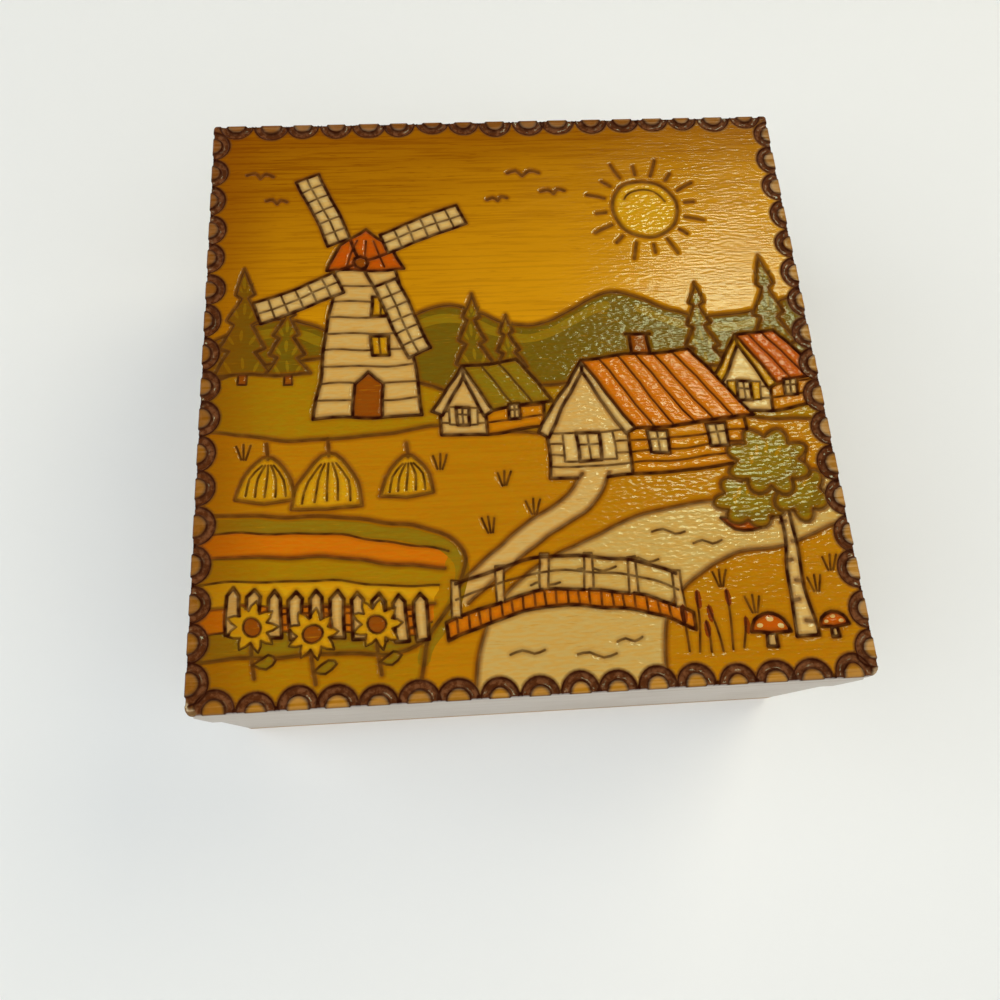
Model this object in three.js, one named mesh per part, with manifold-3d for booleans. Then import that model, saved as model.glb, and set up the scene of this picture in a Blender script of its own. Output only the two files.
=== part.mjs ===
// Square keepsake box with a deep hinged lid. Walls lapped at the corners stand on a
// plywood bottom held by brads, the lid board has a border of half rings pressed into its
// top along all four edges, and two small hinges are nailed on the outside of the back.
// Millimetres, +Z up, +Y towards the hinges. The origin is on the table, below the
// middle of the lid board.

import * as THREE from "three";
import { mergeVertices } from "three/addons/utils/BufferGeometryUtils.js";
import Module from "manifold-3d";

const wasm = await Module();
wasm.setup();

// Box and lid
const LID_WIDTH = 140;
const LID_DEPTH = 140;
const BOARD_THICK = 8;
const RIM_HEIGHT = 16.1;
const RIM_THICK = 8;
const BODY_HEIGHT = 39.5; // walls of the body, without the bottom panel
const WALL_THICK = 8;
const BOTTOM_THICK = 4;
const REVEAL = 0.4; // the body's front and sides stand back from the lid's
const SEAM_GAP = 0.4; // between the closed lid and the body

// Corner joints: the front and back boards lap over the ends of the side boards
const LAP_THICK = 3; // wood left over a side board's end
const GLUE_GAP = 0.1;

// Half rings pressed into the lid board's edges
const RING_OUTER = 8.2; // diameter of the stamp
const RING_BAND = 2; // width of the pressed ring
const RING_DEPTH = 0.9;
const RING_SLOPE = 0.45; // how far each flank of the groove leans in
const RING_INSET = 0.2; // ring centre, in from the edge
const RING_OVERLAP = 0.2; // of neighbouring rings
const RING_CORNER = 1.9; // plain wood left at each end of a row
const RING_SIDES = 16;

// Hinges
const HINGE_LENGTH = 24;
const HINGE_FROM_END = 32; // hinge middle, in from the lid's end
const LEAF_HEIGHT = 12; // pin axis to the leaf's far edge
const LEAF_THICK = 0.9;
const LEAF_CORNER = 1.6;
const KNUCKLE_OUTER = 3.8; // diameter
const KNUCKLE_COUNT = 3; // the lid leaf holds every second one
const PIN_DIAMETER = 1.8;
const PIN_CLEARANCE = 0.1; // radial, beyond the facets of the bore
const PIN_HEAD = 2.8; // diameter
const PIN_HEAD_HEIGHT = 0.6;
const HINGE_PLAY = 0.3; // between what turns and what stands still
const ROUND_SIDES = 16;

// Hinge nails and bottom brads
const NAIL_LENGTH = 6.5; // under the head
const NAIL_SHANK = 1.2;
const NAIL_HEAD = 3;
const NAIL_HEAD_HEIGHT = 0.7;
const NAIL_FROM_END = 5; // in from the leaf's ends
const NAIL_FROM_EDGE = 3.6; // in from the leaf's far edge
const BRAD_LENGTH = 16; // under the head
const BRAD_SHANK = 1.2;
const BRAD_HEAD = 2.4;
const BRAD_HEAD_HEIGHT = 0.5;
const BRAD_SINK = 0.3; // head below the panel's underside
const BRAD_FROM_END = 30; // in from the ends of a wall
const POINT_LENGTH = 1.4; // of nails and brads
const HOLE_CLEARANCE = 0.3; // radial, and past the point
const NAIL_SIDES = 10;
const DOME_STEPS = 3; // rings of facets on a domed head

// Levels and faces that several pieces share
const SEAM_LOW = BOTTOM_THICK + BODY_HEIGHT;
const SEAM_HIGH = SEAM_LOW + SEAM_GAP;
const BOARD_LOW = SEAM_HIGH + RIM_HEIGHT;
const BACK_FACE = LID_DEPTH / 2;
const BODY_WIDTH = LID_WIDTH - 2 * REVEAL;
const BODY_DEPTH = LID_DEPTH - REVEAL;
const BODY_SHIFT = REVEAL / 2; // the body's back is flush with the lid's
const PIN_OFFSET = KNUCKLE_OUTER / 2 + HINGE_PLAY; // pin axis, out from the back
const PIN_LEVEL = SEAM_LOW + SEAM_GAP / 2;
const NAIL_RISE = LEAF_HEIGHT - NAIL_FROM_EDGE; // nails, from the pin axis
const NAIL_REACH = HINGE_LENGTH / 2 - NAIL_FROM_END; // nails, from the leaf's middle
const HINGE_X = LID_WIDTH / 2 - HINGE_FROM_END;

const timber = new THREE.MeshStandardMaterial({ color: 0xd2b78f, roughness: 0.7, metalness: 0 });
const varnished = new THREE.MeshStandardMaterial({ color: 0xb0740f, roughness: 0.35, metalness: 0 });
const plywood = new THREE.MeshStandardMaterial({ color: 0xc6a678, roughness: 0.75, metalness: 0 });
const brass = new THREE.MeshStandardMaterial({ color: 0xb08a42, roughness: 0.4, metalness: 1 });
const steel = new THREE.MeshStandardMaterial({ color: 0x8d8f92, roughness: 0.45, metalness: 1 });

function solidOf(geometry) {
  const bare = geometry.clone();
  bare.deleteAttribute("normal");
  bare.deleteAttribute("uv");
  const merged = mergeVertices(bare);
  return new wasm.Manifold(new wasm.Mesh({
    numProp: 3,
    vertProperties: new Float32Array(merged.attributes.position.array),
    triVerts: new Uint32Array(merged.index.array),
  }));
}

function geometryOf(solid) {
  const { vertProperties, triVerts } = solid.getMesh();
  const geometry = new THREE.BufferGeometry();
  geometry.setAttribute("position", new THREE.BufferAttribute(vertProperties, 3));
  geometry.setIndex(new THREE.BufferAttribute(triVerts, 1));
  const faceted = geometry.toNonIndexed();
  faceted.computeVertexNormals();
  return faceted;
}

function cut(geometry, cutters) {
  let solid = solidOf(geometry);
  for (const cutter of cutters) solid = solid.subtract(solidOf(cutter));
  return geometryOf(solid);
}

function join(geometries) {
  let solid = solidOf(geometries[0]);
  for (const geometry of geometries.slice(1)) solid = solid.add(solidOf(geometry));
  return geometryOf(solid);
}

function addPiece(parent, name, geometry, material) {
  const mesh = new THREE.Mesh(geometry, material);
  mesh.name = name;
  parent.add(mesh);
  return mesh;
}

function extrude(shape, depth, curveSegments = ROUND_SIDES / 2) {
  return new THREE.ExtrudeGeometry(shape, { depth, bevelEnabled: false, curveSegments });
}

function lathe(points, sides) {
  const profile = points.map(([radius, height]) => new THREE.Vector2(radius, height));
  return new THREE.LatheGeometry(profile, sides);
}

// Walls. In its own frame a wall runs along X about the middle and stands on Z = 0, with
// its outside face at Y = 0 and its inside face at Y = thick.

function lappedBoard(length, thick, height) {
  const end = length / 2;
  const shoulder = end - thick - GLUE_GAP;
  const half = [[end, 0], [end, LAP_THICK], [shoulder, LAP_THICK], [shoulder, thick]];
  const mirrored = half.map(([x, y]) => [-x, y]).reverse();
  const outline = [...half, ...mirrored].map(([x, y]) => new THREE.Vector2(x, y));
  return extrude(new THREE.Shape(outline), height);
}

function sideBoard(depth, thick, height) {
  const length = depth - 2 * (LAP_THICK + GLUE_GAP);
  const board = new THREE.BoxGeometry(length, thick, height);
  return board.translate(0, thick / 2, height / 2);
}

function addWall(parent, name, geometry, turn, outside, level) {
  const side = new THREE.Group();
  side.rotation.z = turn;
  parent.add(side);
  const wall = addPiece(side, name, geometry, timber);
  wall.position.set(0, -outside, level);
}

function holeCutter(shank, depth) {
  const radius = shank / 2 + HOLE_CLEARANCE;
  const past = HOLE_CLEARANCE; // beyond the face, so that the cut is clean
  const hole = new THREE.CylinderGeometry(radius, radius, depth + past, NAIL_SIDES);
  return hole.translate(0, (depth - past) / 2, 0);
}

function hingeNailHoles(level) {
  const holes = [];
  const depth = NAIL_LENGTH - LEAF_THICK + HOLE_CLEARANCE;
  for (const hinge of [-1, 1]) {
    for (const nail of [-1, 1]) {
      const x = hinge * HINGE_X + nail * NAIL_REACH;
      holes.push(holeCutter(NAIL_SHANK, depth).translate(x, 0, level));
    }
  }
  return holes;
}

function bradPlaces(length) {
  const reach = length / 2 - BRAD_FROM_END;
  return [-reach, reach];
}

function bradHoles(length) {
  const depth = BRAD_LENGTH + BRAD_SINK + BRAD_HEAD_HEIGHT - BOTTOM_THICK + HOLE_CLEARANCE;
  return bradPlaces(length).map((x) => {
    const hole = holeCutter(BRAD_SHANK, depth).rotateX(Math.PI / 2);
    return hole.translate(x, WALL_THICK / 2, 0);
  });
}

// Nails and brads, turned about Y with the head up and the underside of the head at 0

function domeProfile(radius, base, height) {
  const points = [];
  for (let i = 0; i < DOME_STEPS; i++) {
    const angle = ((i / DOME_STEPS) * Math.PI) / 2;
    points.push([radius * Math.cos(angle), base + height * Math.sin(angle)]);
  }
  return [...points, [0, base + height]];
}

function nailProfile() {
  return [
    [0, -NAIL_LENGTH],
    [NAIL_SHANK / 2, POINT_LENGTH - NAIL_LENGTH],
    [NAIL_SHANK / 2, 0],
    ...domeProfile(NAIL_HEAD / 2, 0, NAIL_HEAD_HEIGHT),
  ];
}

function bradProfile(headHeight, clearance) {
  const shank = BRAD_SHANK / 2 + clearance;
  const head = BRAD_HEAD / 2 + clearance;
  return [
    [0, -BRAD_LENGTH - clearance],
    [shank, POINT_LENGTH - BRAD_LENGTH],
    [shank, 0],
    [head, 0],
    [head, headHeight],
    [0, headHeight],
  ];
}

// Body: four walls, the bottom panel and its brads

const body = new THREE.Group();
body.position.y = BODY_SHIFT;

function buildWalls() {
  const nailLevel = PIN_LEVEL - NAIL_RISE - BOTTOM_THICK;
  const frontBoard = lappedBoard(BODY_WIDTH, WALL_THICK, BODY_HEIGHT);
  const front = cut(frontBoard, bradHoles(BODY_WIDTH));
  const back = cut(front, hingeNailHoles(nailLevel));
  const side = cut(sideBoard(BODY_DEPTH, WALL_THICK, BODY_HEIGHT), bradHoles(BODY_DEPTH));
  addWall(body, "front_wall", front, 0, BODY_DEPTH / 2, BOTTOM_THICK);
  addWall(body, "right_wall", side, Math.PI / 2, BODY_WIDTH / 2, BOTTOM_THICK);
  addWall(body, "back_wall", back, Math.PI, BODY_DEPTH / 2, BOTTOM_THICK);
  addWall(body, "left_wall", side, -Math.PI / 2, BODY_WIDTH / 2, BOTTOM_THICK);
}

function bradPoints() {
  const alongFront = bradPlaces(BODY_WIDTH);
  const alongSide = bradPlaces(BODY_DEPTH);
  const frontLine = BODY_DEPTH / 2 - WALL_THICK / 2;
  const sideLine = BODY_WIDTH / 2 - WALL_THICK / 2;
  return [
    ...alongFront.map((x) => [x, -frontLine]),
    ...alongSide.map((y) => [sideLine, y]),
    ...alongFront.map((x) => [-x, frontLine]),
    ...alongSide.map((y) => [-sideLine, -y]),
  ];
}

function buildBottom() {
  const headLevel = BRAD_SINK + BRAD_HEAD_HEIGHT;
  const cutHeight = headLevel + HOLE_CLEARANCE; // past the panel's underside
  const panel = new THREE.BoxGeometry(BODY_WIDTH, BODY_DEPTH, BOTTOM_THICK);
  panel.translate(0, 0, BOTTOM_THICK / 2);
  const cutters = bradPoints().map(([x, y]) => {
    const cutter = lathe(bradProfile(cutHeight, HOLE_CLEARANCE), NAIL_SIDES);
    cutter.rotateX(-Math.PI / 2);
    return cutter.translate(x, y, headLevel);
  });
  addPiece(body, "bottom_panel", cut(panel, cutters), plywood);
  bradPoints().forEach(([x, y], index) => {
    const shape = lathe(bradProfile(BRAD_HEAD_HEIGHT, 0), NAIL_SIDES);
    const brad = addPiece(body, `bottom_brad_${index + 1}`, shape, steel);
    brad.rotation.x = -Math.PI / 2;
    brad.position.set(x, y, headLevel);
  });
}

// Lid: the rim's four boards and the board planted on them

const lid = new THREE.Group();

function buildRim() {
  const nailLevel = PIN_LEVEL + NAIL_RISE - SEAM_HIGH;
  const front = lappedBoard(LID_WIDTH, RIM_THICK, RIM_HEIGHT);
  const back = cut(front, hingeNailHoles(nailLevel));
  const side = sideBoard(LID_DEPTH, RIM_THICK, RIM_HEIGHT);
  addWall(lid, "lid_rim_front", front, 0, LID_DEPTH / 2, SEAM_HIGH);
  addWall(lid, "lid_rim_right", side, Math.PI / 2, LID_WIDTH / 2, SEAM_HIGH);
  addWall(lid, "lid_rim_back", back, Math.PI, LID_DEPTH / 2, SEAM_HIGH);
  addWall(lid, "lid_rim_left", side, -Math.PI / 2, LID_WIDTH / 2, SEAM_HIGH);
}

function ringCutter() {
  const outer = RING_OUTER / 2;
  const inner = outer - RING_BAND;
  const above = RING_DEPTH;
  const cutter = lathe([
    [inner, above],
    [inner, 0],
    [inner + RING_SLOPE, -RING_DEPTH],
    [outer - RING_SLOPE, -RING_DEPTH],
    [outer, 0],
    [outer, above],
    [inner, above],
  ], RING_SIDES);
  return cutter.rotateX(Math.PI / 2);
}

function ringRow(length) {
  const run = length - 2 * RING_CORNER;
  const count = Math.floor(run / (RING_OUTER - RING_OVERLAP));
  const pitch = run / count;
  return Array.from({ length: count }, (_, i) => (i + 0.5) * pitch - run / 2);
}

function buildBoard() {
  const board = new THREE.BoxGeometry(LID_WIDTH, LID_DEPTH, BOARD_THICK);
  const top = BOARD_THICK / 2;
  const rings = [];
  for (const edge of [-1, 1]) {
    const y = edge * (LID_DEPTH / 2 - RING_INSET);
    for (const x of ringRow(LID_WIDTH)) rings.push(ringCutter().translate(x, y, top));
    const x = edge * (LID_WIDTH / 2 - RING_INSET);
    for (const along of ringRow(LID_DEPTH)) rings.push(ringCutter().translate(x, along, top));
  }
  const mesh = addPiece(lid, "lid_board", cut(board, rings), varnished);
  mesh.position.z = BOARD_LOW + BOARD_THICK / 2;
}

// Hinges. In a hinge's own group the pin lies along X through the origin, +Y points away
// from the box and +Z towards the lid.

function leafPlate() {
  const half = HINGE_LENGTH / 2;
  const near = KNUCKLE_OUTER / 2 + HINGE_PLAY;
  const plate = new THREE.Shape();
  plate.moveTo(-half, near);
  plate.lineTo(half, near);
  plate.absarc(half - LEAF_CORNER, LEAF_HEIGHT - LEAF_CORNER, LEAF_CORNER, 0, Math.PI / 2);
  plate.absarc(LEAF_CORNER - half, LEAF_HEIGHT - LEAF_CORNER, LEAF_CORNER, Math.PI / 2, Math.PI);
  for (const side of [-1, 1]) {
    const hole = new THREE.Path();
    hole.absarc(side * NAIL_REACH, NAIL_RISE, NAIL_SHANK / 2 + HOLE_CLEARANCE, 0, 2 * Math.PI);
    plate.holes.push(hole);
  }
  const sheet = extrude(plate, LEAF_THICK, NAIL_SIDES / 2);
  sheet.rotateX(Math.PI / 2);
  return sheet.translate(0, LEAF_THICK - PIN_OFFSET, 0);
}

function boreRadius() {
  return (PIN_DIAMETER / 2 + PIN_CLEARANCE) / Math.cos(Math.PI / ROUND_SIDES);
}

function knuckle(index) {
  const pitch = HINGE_LENGTH / KNUCKLE_COUNT;
  const length = pitch - HINGE_PLAY;
  const start = index * pitch - HINGE_LENGTH / 2 + HINGE_PLAY / 2;
  const ring = new THREE.Shape();
  ring.absarc(0, 0, KNUCKLE_OUTER / 2, 0, 2 * Math.PI);
  const bore = new THREE.Path();
  bore.absarc(0, 0, boreRadius(), 0, 2 * Math.PI);
  ring.holes.push(bore);
  const barrel = extrude(ring, length);
  barrel.rotateY(Math.PI / 2);
  barrel.translate(start, 0, 0);
  const reach = KNUCKLE_OUTER / 2 + 2 * HINGE_PLAY; // into the plate
  const tab = new THREE.BoxGeometry(length, LEAF_THICK, reach);
  tab.translate(start + length / 2, LEAF_THICK / 2 - PIN_OFFSET, reach / 2);
  return join([barrel, tab]);
}

function leaf(knuckles) {
  return join([leafPlate(), ...knuckles.map(knuckle)]);
}

function pin() {
  const half = HINGE_LENGTH / 2 + HINGE_PLAY / 2;
  const upper = [[PIN_DIAMETER / 2, half], ...domeProfile(PIN_HEAD / 2, half, PIN_HEAD_HEIGHT)];
  const lower = upper.map(([radius, height]) => [radius, -height]).reverse();
  return lathe([...lower, ...upper], ROUND_SIDES).rotateZ(Math.PI / 2);
}

function addHingeNails(parent, prefix, level) {
  for (const side of [-1, 1]) {
    const name = `${prefix}_nail_${side < 0 ? 1 : 2}`;
    const nail = addPiece(parent, name, lathe(nailProfile(), NAIL_SIDES), brass);
    nail.position.set(side * NAIL_REACH, LEAF_THICK - PIN_OFFSET, level);
  }
}

function buildHinge(root, prefix, x) {
  const hinge = new THREE.Group();
  hinge.position.set(x, BACK_FACE + PIN_OFFSET, PIN_LEVEL);
  root.add(hinge);
  const places = Array.from({ length: KNUCKLE_COUNT }, (_, i) => i);
  const lidKnuckles = places.filter((i) => i % 2 === 1);
  const boxKnuckles = places.filter((i) => i % 2 === 0);
  addPiece(hinge, `${prefix}_lid_leaf`, leaf(lidKnuckles), brass);
  const turned = boxKnuckles.map((i) => KNUCKLE_COUNT - 1 - i); // the box leaf hangs upside down
  const boxLeaf = addPiece(hinge, `${prefix}_box_leaf`, leaf(turned), brass);
  boxLeaf.rotation.y = Math.PI;
  addPiece(hinge, `${prefix}_pin`, pin(), steel);
  addHingeNails(hinge, `${prefix}_lid`, NAIL_RISE);
  addHingeNails(hinge, `${prefix}_box`, -NAIL_RISE);
}

const box = new THREE.Group();
box.add(body, lid);
buildWalls();
buildBottom();
buildRim();
buildBoard();
buildHinge(box, "left_hinge", -HINGE_X);
buildHinge(box, "right_hinge", HINGE_X);

export default box;
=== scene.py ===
"""Looks of a square keepsake box: a burnt, painted and varnished lid board on bare pale wood."""
import math
import random

import bpy
import numpy as np
from mathutils import Matrix, Vector
from mathutils.geometry import delaunay_2d_cdt


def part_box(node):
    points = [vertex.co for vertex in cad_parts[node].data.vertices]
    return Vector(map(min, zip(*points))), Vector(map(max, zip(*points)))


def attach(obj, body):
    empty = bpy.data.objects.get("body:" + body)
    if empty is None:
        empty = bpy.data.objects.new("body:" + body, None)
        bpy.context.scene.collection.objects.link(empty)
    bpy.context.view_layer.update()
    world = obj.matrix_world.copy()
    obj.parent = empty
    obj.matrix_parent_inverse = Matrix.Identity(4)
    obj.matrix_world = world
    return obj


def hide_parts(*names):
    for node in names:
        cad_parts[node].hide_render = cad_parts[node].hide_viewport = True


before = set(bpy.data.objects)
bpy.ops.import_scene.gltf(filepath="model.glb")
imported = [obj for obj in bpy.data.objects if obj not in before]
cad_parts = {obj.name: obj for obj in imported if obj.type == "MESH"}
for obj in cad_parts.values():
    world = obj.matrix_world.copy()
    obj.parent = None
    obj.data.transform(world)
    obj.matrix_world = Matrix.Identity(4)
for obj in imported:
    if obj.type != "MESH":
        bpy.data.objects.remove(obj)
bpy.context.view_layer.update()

MM = 0.001
BOARD_LOW, BOARD_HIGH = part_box("lid_board")
HALF_WIDTH = (BOARD_HIGH.x - BOARD_LOW.x) / 2 / MM
HALF_DEPTH = (BOARD_HIGH.y - BOARD_LOW.y) / 2 / MM
BOARD_THICK = (BOARD_HIGH.z - BOARD_LOW.z) / MM
HALF = np.array([HALF_WIDTH, HALF_DEPTH])
LID_TOP = BOARD_HIGH.z

# Camera: where the photograph was taken from, in millimetres from the middle of the lid's top
PHOTO_SIDE = 1000
FOCAL_PIXELS = 904
OPTICAL_CENTRE = (480, 430)
CAMERA_PLACE = Vector((-20.93, -82.22, 186.09))
CAMERA_LOOK = Vector((0.06154, 0.34728, -0.93574))
CAMERA_UP = Vector((0.04008, 0.9359, 0.34998))
SENSOR = 36


def rgb(red, green, blue):
    """A colour given in 0 to 255 screen steps, as the linear colour that shaders take."""
    steps = [value / 255 for value in (red, green, blue)]
    linear = [s / 12.92 if s <= 0.04045 else ((s + 0.055) / 1.055) ** 2.4 for s in steps]
    return (*linear, 1.0)


PAINTS = {
    "cream": rgb(204, 168, 98),
    "white": rgb(212, 180, 112),
    "orange": rgb(200, 106, 8),
    "red": rgb(184, 76, 8),
    "brick": rgb(126, 54, 10),
    "amber": rgb(190, 118, 6),
    "gold": rgb(204, 152, 16),
    "olive": rgb(152, 116, 8),
    "leaf": rgb(118, 102, 16),
    "pine": rgb(88, 78, 14),
    "water": rgb(196, 164, 92),
    "earth": rgb(166, 108, 6),
    "bush": rgb(158, 112, 6),
}

# Burnt lines: width and depth in millimetres, how black the bottom is, how brown the rim is
CRISP = dict(width=1.08, depth=0.42, char=0.88, toast=0.6)
FINE = dict(width=0.68, depth=0.28, char=0.74, toast=0.4)
SOFT = dict(width=1.05, depth=0.32, char=0.58, toast=0.8)
TOAST_REACH = 0.7  # past the line's edge
PICTURE_HALF = 70  # the picture is drawn for a lid of twice this
PAINT_COVER = 0.88  # how well an even coat hides the wood
DAB_COVER = 0.85
BRUSH_COVER = 0.82


# Lines and outlines, as arrays of points in millimetres

def as_points(points):
    return np.array(points, float).reshape(-1, 2)


def densify(points, step=2.2):
    """The same line with no stretch longer than step."""
    made = [points[0]]
    for a, b in zip(points[:-1], points[1:]):
        count = max(1, int(np.ceil(np.hypot(*(b - a)) / step)))
        for i in range(1, count + 1):
            made.append(a + (b - a) * i / count)
    return np.array(made)


def hand_drawn(points):
    """A drawn line never runs quite true: one slow wobble bends all lines and areas alike."""
    x, y = points[:, 0], points[:, 1]
    sway = 0.24 * np.sin(0.31 * y + 1.3) + 0.12 * np.sin(0.83 * x + 0.47 * y)
    lift = 0.24 * np.sin(0.29 * x + 0.7) + 0.12 * np.sin(0.71 * y - 0.53 * x)
    return np.stack([x + sway, y + lift], 1)


def closed(points):
    points = as_points(points)
    return np.vstack([points, points[:1]])


def oblong(x, y, wide, tall):
    """The corners of an upright oblong, from the lower left one."""
    return [(x, y), (x + wide, y), (x + wide, y + tall), (x, y + tall)]


def set_at(profile, x, y, size):
    """A profile drawn about its foot, set at x, y and scaled to size."""
    return [(x + size * across, y + size * up) for across, up in profile]


def toward(degrees):
    """The way that an angle points, or a row for each of several angles."""
    turn = np.radians(degrees)
    return np.stack([np.cos(turn), np.sin(turn)], -1)


def arc(centre, radius, start, end, step=1.2):
    """Points on an arc, angles in degrees; radius may be a pair for an ellipse."""
    length = abs(math.radians(end - start)) * np.max(radius)
    angles = np.linspace(start, end, max(6, int(length / step)) + 1)
    return np.array(centre) + toward(angles) * radius


def smooth(points, step=1.6):
    """A smooth line through the points."""
    points = as_points(points)
    padded = np.vstack([2 * points[0] - points[1], points, 2 * points[-1] - points[-2]])
    made = []
    for p0, p1, p2, p3 in zip(padded[:-3], padded[1:-2], padded[2:-1], padded[3:]):
        count = max(2, int(np.hypot(*(p2 - p1)) / step))
        for t in np.arange(count) / count:
            made.append(0.5 * (2 * p1 + (p2 - p0) * t + (2 * p0 - 5 * p1 + 4 * p2 - p3) * t ** 2
                               + (3 * p1 - p0 - 3 * p2 + p3) * t ** 3))
    return np.vstack([made, points[-1:]])


def along(start, end, count):
    """Evenly spaced places from start to end, both included."""
    return [np.array(start) + (np.array(end) - np.array(start)) * i / (count - 1) for i in range(count)]


def in_box(points, low, high):
    return np.nonzero(((points >= low) & (points <= high)).all(1))[0]


def inside(points, outline):
    """Which points lie inside a closed outline."""
    found = np.zeros(len(points), bool)
    near = in_box(points, outline.min(0), outline.max(0))
    if len(near):
        x, y = points[near, 0][:, None], points[near, 1][:, None]
        a, b = outline, np.roll(outline, -1, 0)
        rise = np.where(b[:, 1] == a[:, 1], 1e-12, b[:, 1] - a[:, 1])
        cross = a[:, 0] + (y - a[:, 1]) * (b[:, 0] - a[:, 0]) / rise
        hit = ((a[:, 1] > y) != (b[:, 1] > y)) & (x < cross)
        found[near] = hit.sum(1) % 2 == 1
    return found


class Drawing:
    """Painted areas and burnt lines on the lid, drawn from back to front."""

    def __init__(self):
        self.areas = []
        self.lines = []
        self.count = 0

    def paint(self, outline, colour, cover=PAINT_COVER, hides=True, edged=False):
        self.count += 1
        points = hand_drawn(densify(closed(outline)))[:-1]
        area = dict(order=self.count, outline=points, colour=colour, cover=cover)
        self.areas.append(dict(area, hides=hides, edged=edged))

    def burn(self, points, style=CRISP):
        self.count += 1
        points = hand_drawn(densify(as_points(points)))
        self.lines.append(dict(order=self.count, points=points, style=style))

    def rule(self, x, y, across, up, style=FINE):
        """A straight burnt line from a place."""
        self.burn([(x, y), (x + across, y + up)], style)

    def shape(self, outline, colour, style=CRISP):
        """A painted area with a burnt line all round it."""
        self.paint(outline, colour, edged=True)
        self.burn(closed(outline), style)

    def land(self, line, bottom, colour, cover=PAINT_COVER):
        """Land under a drawn line, down to a level."""
        corners = [(PICTURE_HALF, bottom), (-PICTURE_HALF, bottom)]
        self.paint(np.vstack([line, corners]), colour, cover, edged=True)
        self.burn(line, SOFT)

    def lane(self, left, right, colour):
        """Water or a path between two drawn lines."""
        self.paint(np.vstack([left, right[::-1]]), colour, edged=True)
        self.burn(left, SOFT)
        self.burn(right, SOFT)

    def dab(self, place, angle, length, width, colour, cover=DAB_COVER):
        """One stroke of the brush, over whatever is there."""
        stroke = toward(np.arange(8) * 45) * (length / 2, width / 2)
        turned = stroke @ np.stack([toward(angle), toward(angle + 90)])
        self.paint(np.array(place) + turned, colour, cover, hides=False)

    def brush(self, points, width, colour):
        """A broad stroke of the brush along a line, over whatever is there."""
        line = densify(as_points(points), 1.5)
        self.paint(offset_loop(line, width / 2), colour, BRUSH_COVER, hides=False)


# The picture: a mill and a village by a river

def sky(d):
    sun = (35, 43)
    d.shape(arc(sun, 8, 0, 360)[:-1], "gold", SOFT)
    d.burn(arc(sun, 5.6, 20, 150), FINE)
    for i in range(16):
        way = toward(i * 22.5 + 6)
        d.burn([sun + way * 10, sun + way * (14.5 if i % 2 else 12.4)], SOFT)
    for x, y, size in ((6, 53, 3.4), (13, 48, 2.6), (-1, 46, 2.2), (-58, 54, 2.8), (-54, 47, 2.2)):
        for side in (-1, 1):
            wing = [(0, 0), (side * 0.5, 0.5), (side * 1.15, 0.28)]
            d.burn(smooth(set_at(wing, x, y, size), 0.8), SOFT)


def hills(d):
    ridge = smooth([(-70, 10), (-52, 16), (-36, 11), (-14, 18), (4, 12), (24, 20), (46, 13), (70, 18)])
    d.land(ridge, -20, "pine")
    d.brush([(x, y - 3.4) for x, y in ridge[6:-30]], 2.2, "leaf")
    d.brush([(x, y - 3.2) for x, y in ridge[-26:-4]], 2.0, "leaf")
    hill = [(-70, 0), (-52, 5), (-34, 4), (-14, -4), (8, -3), (30, 2), (52, 3), (70, 0)]
    d.land(smooth(hill), -40, "olive")
    meadow = [(-70, -11), (-44, -14), (-16, -12), (10, -15), (40, -12), (70, -14)]
    d.land(smooth(meadow), -70, "earth", 0.7)


def fir(d, x, y, height, width, tiers=4):
    """A fir tree standing at x, y: tiers of branches that narrow to the top."""
    d.shape(oblong(x - 0.9, y - 2.5, 1.8, 4.5), "brick", FINE)
    right = []
    for i in range(tiers):
        low, high = i / tiers, (i + 1) / tiers
        right.append((x + width / 2 * (1 - 0.86 * low), y + height * low))
        right.append((x + width / 2 * (0.62 - 0.62 * high), y + height * (high - 0.04)))
    right[-1] = (x, y + height)
    left = [(2 * x - px, py) for px, py in reversed(right[:-1])]
    d.shape(right + left, "pine", SOFT)
    for i in range(tiers):
        level = y + height * (i + 0.42) / tiers
        spread = width * 0.24 * (1 - 0.8 * i / tiers)
        for side in (-1, 0, 1):
            d.dab((x + side * spread, level - abs(side)), 90 - side * 28, 3.2, 0.8, "leaf")


def windmill(d, x, y):
    """A boarded mill with its sails set aslant."""
    tower = [(x - 12, y), (x + 12, y), (x + 7, y + 37), (x - 7, y + 37)]
    d.shape(tower, "cream")
    for i in range(1, 9):
        level = i * 4.1
        half = 12 - 5 * level / 37
        d.rule(x - half, y + level, 2 * half, 0)
    d.shape([(x - 3.2, y), (x + 3.2, y), (x + 3.2, y + 8), (x, y + 11), (x - 3.2, y + 8)], "brick")
    for level in (15, 25):
        d.shape(oblong(x + 1, y + level, 4, 5), "gold")
        d.rule(x + 3, y + level, 0, 5)
    cap = [(x - 9, y + 37), (x + 9, y + 37), (x + 6, y + 43.5), (x, y + 48), (x - 6, y + 43.5)]
    d.shape(cap, "red")
    for side in (-1, 0, 1):
        d.rule(x + side * 4.4, y + 38, -side * 2.4, 7)
    hub = np.array([x - 1, y + 39])
    for i in range(4):
        sail(d, hub, 22 + 90 * i)
    d.shape(arc(hub, 1.7, 0, 360)[:-1], "brick")


def sail(d, hub, angle, reach=27, start=7, width=5.6):
    """One sail: a spar with a lattice of laths along one side."""
    across = toward(angle + 90) * width
    near, far = hub + toward(angle) * start, hub + toward(angle) * reach
    d.shape([near, far, far + across, near + across], "white")
    d.burn([hub, near])
    for place in along(near, far, 7)[1:-1]:
        d.burn([place, place + across], FINE)
    d.burn([near + across / 2, far + across / 2], FINE)


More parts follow.
